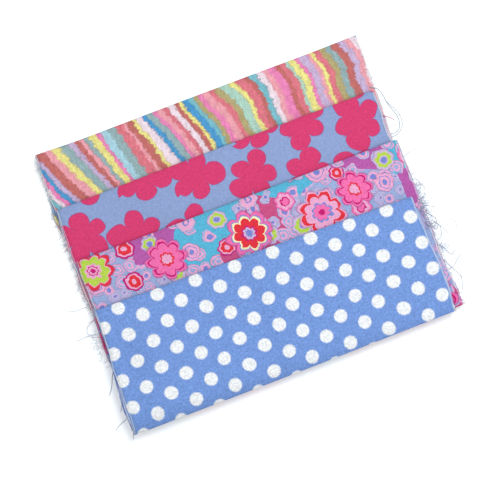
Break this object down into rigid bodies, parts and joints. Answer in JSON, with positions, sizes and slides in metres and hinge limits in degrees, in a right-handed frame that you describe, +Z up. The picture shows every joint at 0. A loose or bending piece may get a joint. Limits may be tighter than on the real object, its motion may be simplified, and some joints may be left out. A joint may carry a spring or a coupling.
{
  "type": "quarter-yard fabric bundle",
  "caption": "Quarter-yard cuts of printed quilting cotton, each folded back and forth, stacked with their front folds in line so that a band of each print shows.",
  "frame": {"origin": "middle of the bundle's box, on the surface that it rests on", "axes": "+X along the cuts' nine-inch side, +Y from the front folds to the back, +Z up"},
  "size_m": [0.2416, 0.2096, 0.0158],
  "materials": {
    "stripe_print": "matt plain-woven cotton, softly waving stripes of many pastel colours",
    "flower_print": "matt plain-woven cotton, magenta flower shapes on periwinkle blue",
    "rosette_print": "matt plain-woven cotton, ringed rosettes on raspberry, turquoise and lilac patches",
    "dot_print": "matt plain-woven cotton, white dots on cornflower blue"
  },
  "bodies": {
    "root": {"stripe_cloth": "stripe_print", "flower_cloth": "flower_print", "rosette_cloth": "rosette_print", "dot_cloth": "dot_print"}
  },
  "joints": []
}
